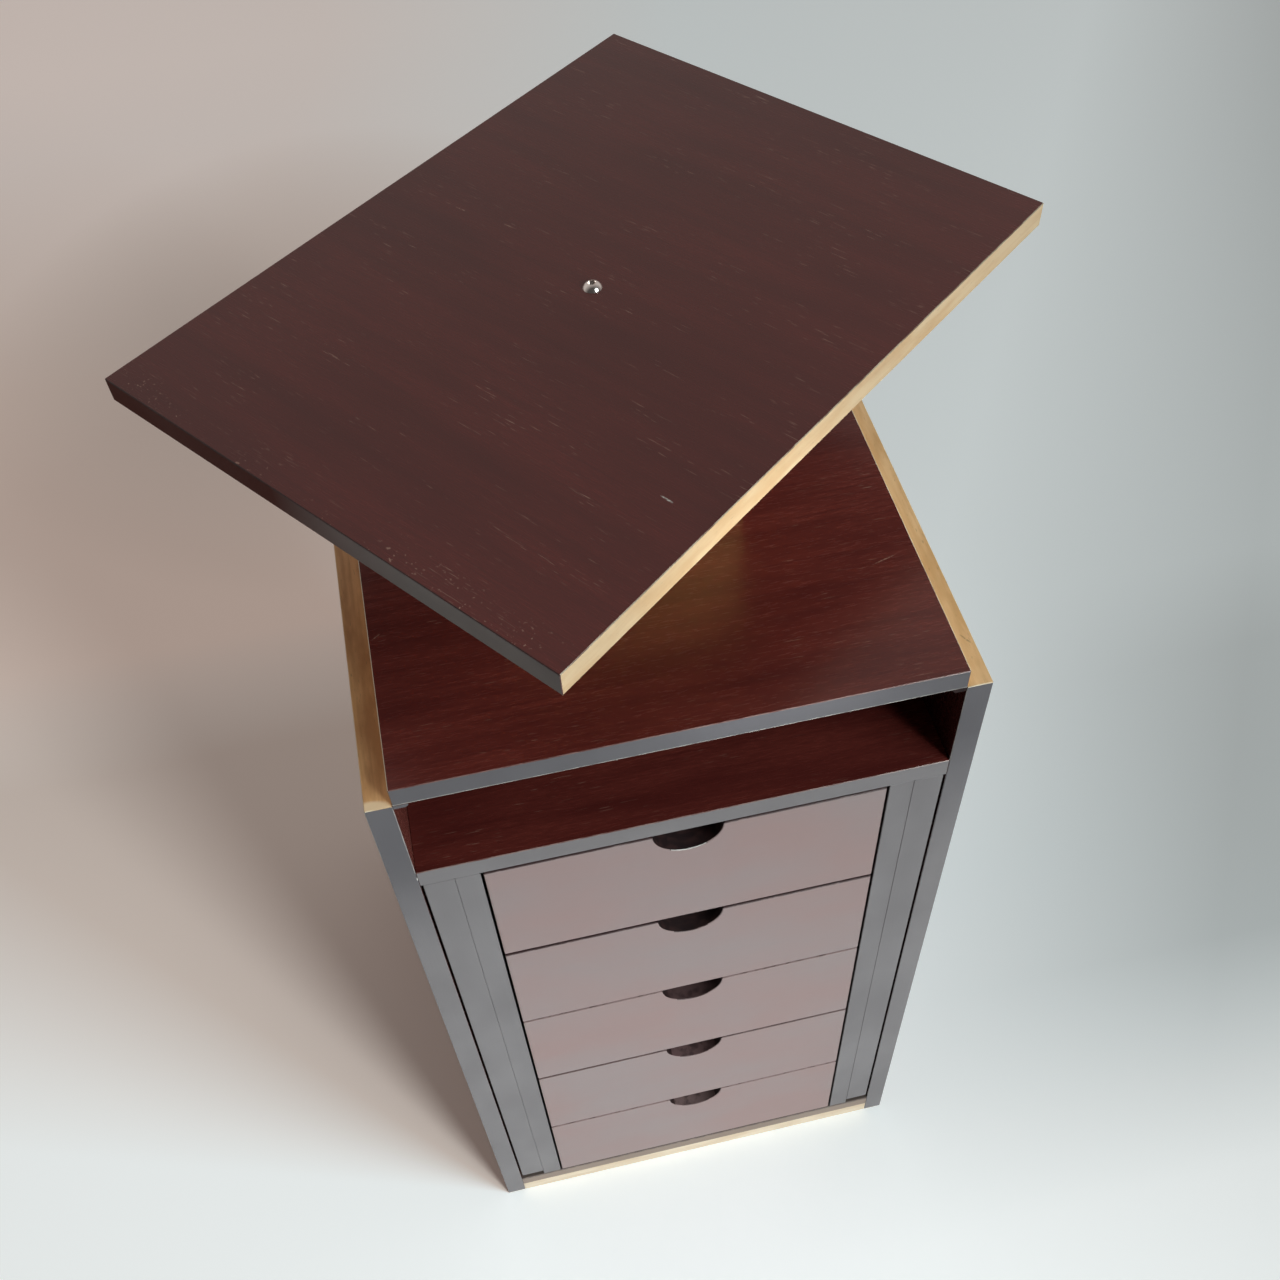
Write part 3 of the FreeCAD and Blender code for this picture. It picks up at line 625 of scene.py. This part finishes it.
def dress_tops():
    """Finishes of the fixed top and the swivelling board."""
    # The fixed top's slate edges are the darker grey of the painted shade near the top of the case
    edges = {"-y": ("slate", "x"), "+y": ("slate", "x"), "-x": ("natural", "y"), "+x": ("natural", "y")}
    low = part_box("top_panel")[0][2]
    # A pale line on the lower front corner: rubbed paint with a painted highlight
    strips = [Strip("-y", low, low + TOP_STRIP, ARRIS_PALE, 0.9)]
    fixed = board_material("fixed_top", ("case", "x"), edges, arrises=FIXED_ARRISES, strips=strips,
                           marks=FIXED_MARKS)
    dress(fixed, ["top_panel"])
    edges = {"-y": ("umber_fading", "x"), "+y": ("umber", "x"), "-x": ("cream", "y"), "+x": ("cream", "y")}
    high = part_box("swivel_top")[1][2]
    strips = [Strip("-y", high - BOARD_STRIP, high, CUT_BROWN, 0.9)]
    turned = board_material("turned_top", ("board", "x"), edges, BOARD_TURN, arrises=BOARD_ARRISES,
                            strips=strips, marks=BOARD_MARKS)
    dress(turned, ["swivel_top"])


def dress_sides():
    """Finishes of the outer sides, whose bare upper edges and inner faces differ."""
    shelf_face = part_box("shelf_panel")[1][2]
    # The pale corners are rubbed wood and paint with a painted highlight
    arrises = [
        Arris("-y+z", WOOD_BRIGHT, 0.9),
        Arris("-x+z", WOOD_BRIGHT, 0.6),
        Arris("+x+z", WOOD_BRIGHT, 0.8),
        Arris("-y+x", ARRIS_PALE, 0.8, shelf_face),
        Arris("-y-x", ARRIS_PALE, 0.5, shelf_face),
    ]
    chip = Strip("-y+x", *CHIP_SPAN, CHIP_WHITE, 1.0)
    looks = (
        # The left side's amber upper edge is painted shade, and its rosy inner face painted light
        ("left", "amber", "+x", "rosy", [chip], [LIT_END]),
        # The right side's deep inner face is painted shade
        ("right", "natural", "-x", "deep", [], [KNOT]),
    )
    for hand, wood, inward, inside, strips, marks in looks:
        edges = {inward: (inside, "z"), "-y": ("rising", "z"), "+y": ("natural", "z"),
                 "+z": (wood, "y"), "-z": ("natural", "y")}
        side = board_material(f"upright_{hand}", ("case", "z"), edges, wrap=True, arrises=arrises,
                              strips=strips, marks=marks)
        dress(side, [f"{hand}_side"])


def dress_case():
    """Finishes of the boards between and behind the sides."""
    shelf = board_material("shelf", ("case", "x"), {"-y": ("grey", "x")},
                           arrises=[Arris("-y+z", ARRIS_PINK, 0.7)])
    dress(shelf, ["shelf_panel"])
    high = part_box("case_bottom")[1][2]
    # A painted shadow line along the top of the bay floor's front edge, under the lowest drawer
    shaded = [Strip("-y", high - SHADED_STRIP, high, TAUPE_SHADOW, 0.8)]
    dress(board_material("bay_floor", ("umber", "x"), {"-y": ("taupe", "x")}, strips=shaded), ["case_bottom"])
    dress(board_material("liner", ("cut", "z"), {"-y": ("grey", "z")}, wrap=True),
          ["liner_left", "liner_right", "filler_left", "filler_right"])
    dress(board_material("cleat_grey", ("case", "y"), {"-y": ("slate", "x")}), ["cleat_left"])
    dress(board_material("cleat_dark", ("hollow", "y"), {}), ["cleat_right"])
    dress(board_material("back", ("case", "z"), {}), ["back_panel"])
    dress(board_material("base", ("birch", "x"), {}), ["base_panel"])


def dress_pedestal():
    """Finishes of the pedestal, the pivot and the hidden joints."""
    level = ["pedestal_front", "pedestal_back", "pedestal_cap"]
    dress(board_material("block_level", ("honey", "x"), {}), level)
    dress(board_material("block_deep", ("honey", "y"), {}), ["pedestal_left", "pedestal_right"])
    dress(board_material("joint", ("natural", "x"), {}), ["case_tenons"])
    dress(metal_material("chrome", CHROME_COLOUR, CHROME_ROUGHNESS), ["pivot_bolt"])
    dress(ZINC, ["pivot_washer", "pivot_nut", "pedestal_screws"])


def dress_fronts():
    """Finishes of the drawer fronts, whose upper edges carry the gaps' painted shade and whose notches carry
    painted light and rubbed paint, unlike from front to front.
    """
    faces = {"-y": ("mauve", "x"), "+y": ("case", "x")}
    for number, (colour, stain), rubbed in zip(DRAWERS, UPPER_EDGES, NOTCH_LIGHT):
        name = f"drawer_{number}_front"
        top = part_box(name)[1][2]
        # The upper corner, the upper edge and on the first two a band of the face carry the gap's painted
        # shade, mauve where the gap is faint
        rims = [Arris("-y+z", colour, 1.0), Arris("-y+z", CUT_BROWN, 0.7, 0, STAINED_REACH)]
        # The first notch's white rim is rubbed paint with a painted highlight
        if number == 1:
            rims.append(Arris("-y+z", CHIP_WHITE, 0.8, 0, RUBBED_REACH))
        strips = [Strip("+z", top - EDGE_DEPTH, top + EDGE_DEPTH, colour, 1.0)]
        if stain:
            strips.append(Strip("-y", top - stain, top, colour, 0.9))
        # Painted light inside the notches of the lower drawers
        if rubbed:
            strips.append(Strip("+z", top - NOTCH_DEPTH, top - EDGE_DEPTH, rubbed, 1.0))
        front = board_material(f"front_{number}", ("cut", "x"), faces, wrap=True, arrises=rims, strips=strips)
        dress(front, [name])


def dress_drawers():
    """Finishes of the drawer boxes and their runners."""
    wall = board_material("wall", ("natural", "y"), {})
    level = board_material("wall_back", ("natural", "x"), {})
    for part in ("back", "bottom"):
        dress(level, [f"drawer_{number}_{part}" for number in DRAWERS])
    for hand in ("left", "right"):
        dress(wall, [f"drawer_{number}_{hand}" for number in DRAWERS])
        dress(wall, [f"runner_{number}_{hand}" for number in DRAWERS])


# Small fasteners

def studs(name, places, outward, radius, profile):
    """Round heads, each turned from a profile of radii and heights, on one body."""
    mesh = bmesh.new()
    basis = Vector(outward).to_track_quat("Z", "Y")
    for place in places:
        rings = []
        for across, height in profile:
            count = HEAD_STEPS if across else 1
            turns = [2 * math.pi * step / count for step in range(count)]
            points = [Vector((across * math.cos(turn), across * math.sin(turn), height)) for turn in turns]
            rings.append([mesh.verts.new(Vector(place) + basis @ (radius * point)) for point in points])
        for low, high in zip(rings, rings[1:]):
            for step in range(HEAD_STEPS):
                after = step + 1
                corners = [low[step % len(low)], low[after % len(low)],
                           high[after % len(high)], high[step % len(high)]]
                mesh.faces.new(list(dict.fromkeys(corners)))
    bmesh.ops.recalc_face_normals(mesh, faces=mesh.faces)
    data = bpy.data.meshes.new(name)
    mesh.to_mesh(data)
    mesh.free()
    data.shade_smooth()
    data.materials.append(ZINC)
    piece = bpy.data.objects.new(name, data)
    bpy.context.scene.collection.objects.link(piece)
    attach(piece, "case")


def runner_screws():
    """Three countersunk screws in the open face of each runner."""
    for hand, outward in (("left", 1), ("right", -1)):
        places = []
        for number in DRAWERS:
            low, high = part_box(f"runner_{number}_{hand}")
            face = high[0] if outward > 0 else low[0]
            for share in SCREW_SHARES:
                y = low[1] + share * (high[1] - low[1])
                places.append((face, y, (low[2] + high[2]) / 2))
        studs(f"runner_screws_{hand}", places, (outward, 0, 0), SCREW_HEAD, SCREW_PROFILE)


def back_pins():
    """Pins through the back panel into the level boards and the liners."""
    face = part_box("back_panel")[1][1]
    places = []
    for node in ("case_bottom", "shelf_panel"):
        low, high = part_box(node)
        for share in ROW_SHARES:
            places.append((low[0] + share * (high[0] - low[0]), face, (low[2] + high[2]) / 2))
    for node in ("liner_left", "liner_right"):
        low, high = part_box(node)
        for share in COLUMN_SHARES:
            places.append(((low[0] + high[0]) / 2, face, low[2] + share * (high[2] - low[2])))
    studs("back_pins", places, (0, 1, 0), PIN_HEAD, PIN_PROFILE)


# Floor, light and camera

def away_from(tree, place, point):
    """The distance from a point."""
    inputs = {0: place, 1: point}
    return put(tree, "ShaderNodeVectorMath", inputs, operation="DISTANCE").outputs["Value"]


def rest_of(tree, share):
    """What a share leaves of one."""
    return calculate(tree, "SUBTRACT", 1.0, share)


def floor_regions(tree, place):
    """Shares of the floor's regions by name; each is one inside and fades to nought."""
    across, back, _ = split(tree, place)
    spread = calculate(tree, "ADD", product(tree, calculate(tree, "MAXIMUM", back, 0.0), LEFT_SPREAD), 1.0)
    left = ramp(tree, calculate(tree, "DIVIDE", across, spread), *LEFT_SPAN)
    slanted = calculate(tree, "SUBTRACT", across, product(tree, back, RIGHT_SLANT))
    shade = product(tree, ramp(tree, slanted, *RIGHT_SPAN), ramp(tree, back, *RIGHT_START),
                    ramp(tree, back, *RIGHT_BEHIND))
    past_foot = calculate(tree, "ADD", back, -LEFT_FOOT[1])
    turned = calculate(tree, "DIVIDE", past_foot, away_from(tree, place, LEFT_FOOT))
    return {
        "left": left,
        "right": rest_of(tree, left),
        "shade": shade,
        "front": ramp(tree, turned, *FRONT_TURN_SPAN),
        "behind": ramp(tree, back, *AIRY_SPAN),
        "near": ramp(tree, away_from(tree, place, (0, 0, 0)), *NEAR_SPAN),
        "wall": product(tree, left, ramp(tree, back, *WALL_SPAN), ramp(tree, back, *WALL_RISE)),
        "clear": ramp(tree, away_from(tree, place, SHADOW_MIDDLE), *SHADOW_SPAN),
        "dusk": ramp(tree, back, *DUSK_FADE),
    }


def floor_colour(tree, region):
    """The floor's colour as it is seen, with painted shade on the right, on the left and behind."""
    airy = product(tree, region["right"], region["behind"], region["near"])
    dusk = product(tree, region["left"], rest_of(tree, region["front"]), region["dusk"], region["near"])
    colour = mix_colour(tree, airy, FLOOR_LIT, FLOOR_AIRY)
    colour = mix_colour(tree, region["shade"], colour, FLOOR_RIGHT_SHADE)
    colour = mix_colour(tree, dusk, colour, FLOOR_DUSK_SHADE)
    return mix_colour(tree, region["clear"], FLOOR_SHADOW, colour)


def floor_glow(tree, region):
    """How brightly the floor glows, as painted light, in front on the left, behind, and on the right."""
    front = product(tree, region["front"], region["left"], LEFT_GLOW)
    behind = product(tree, region["wall"], region["clear"], WALL_GLOW)
    right = product(tree, region["right"], ramp(tree, region["shade"], 0.0, 1.0, RIGHT_GLOW, 0.0))
    return calculate(tree, "ADD", front, calculate(tree, "ADD", behind, right))


def floor():
    """A wide pale floor, tinted and glowing in regions only as it is seen, as painted light and shade, not as
    it lights the chest.
    """
    material, tree, shader = new_material("floor")
    region = floor_regions(tree, put(tree, "ShaderNodeTexCoord").outputs["Object"])
    rays = put(tree, "ShaderNodeLightPath").outputs
    direct = calculate(tree, "MAXIMUM", rays["Is Camera Ray"], rays["Is Glossy Ray"])
    seen = calculate(tree, "MAXIMUM", direct, rays["Is Transmission Ray"])
    colour = mix_colour(tree, seen, FLOOR_COLOUR, floor_colour(tree, region))
    glow = product(tree, seen, region["near"], floor_glow(tree, region))
    tree.links.new(colour, shader.inputs["Base Color"])
    tree.links.new(glow, shader.inputs["Emission Strength"])
    tree.links.new(mix_colour(tree, region["wall"], FLOOR_COOL, FLOOR_WARM), shader.inputs["Emission Color"])
    shader.inputs["Roughness"].default_value = FLOOR_ROUGHNESS
    bpy.ops.mesh.primitive_plane_add(size=FLOOR_SIZE)
    plane = bpy.context.object
    plane.name = "floor"
    plane.data.materials.append(material)


def lights():
    """The lamps, each turned to its target."""
    for lamp in LAMPS:
        data = bpy.data.lights.new(lamp.name, lamp.kind)
        data.energy = lamp.power
        data.color = lamp.tint
        for setting, value in lamp.settings.items():
            setattr(data, setting, value)
        light = bpy.data.objects.new(lamp.name, data)
        bpy.context.scene.collection.objects.link(light)
        light.location = lamp.place
        looks = Vector(lamp.target) - Vector(lamp.place)
        light.rotation_euler = looks.to_track_quat("-Z", "Y").to_euler()


def surround():
    """A world that lights from behind more than from the front, and is seen evenly."""
    world = bpy.data.worlds.new("surround")
    world.use_nodes = True
    tree = world.node_tree
    depth = split(tree, put(tree, "ShaderNodeTexCoord").outputs["Generated"])[1]
    direct = put(tree, "ShaderNodeLightPath").outputs["Is Camera Ray"]
    cast = ramp(tree, depth, *SURROUND_SPAN, FRONT_GLOW, REAR_GLOW)
    background = tree.nodes["Background"]
    background.inputs["Color"].default_value = WARM
    tree.links.new(mix_value(tree, direct, cast, BACKDROP_GLOW), background.inputs["Strength"])
    bpy.context.scene.world = world


def camera():
    """The photograph's camera."""
    data = bpy.data.cameras.new("camera")
    data.lens = CAMERA_LENS
    data.sensor_width = SENSOR_WIDTH
    viewer = bpy.data.objects.new("camera", data)
    bpy.context.scene.collection.objects.link(viewer)
    upright = math.pi / 2
    viewer.matrix_world = (
        Matrix.Translation(CAMERA_PLACE)
        @ Matrix.Rotation(CAMERA_TURN, 4, "Z")
        @ Matrix.Rotation(upright + CAMERA_TILT, 4, "X")
        @ Matrix.Rotation(CAMERA_ROLL, 4, "Z")
    )
    bpy.context.scene.camera = viewer


ZINC = metal_material("zinc", ZINC_COLOUR, ZINC_ROUGHNESS)
dress_tops()
dress_sides()
dress_case()
dress_pedestal()
dress_fronts()
dress_drawers()
runner_screws()
back_pins()
floor()
lights()
surround()
camera()
bpy.context.scene.view_settings.view_transform = "Standard"
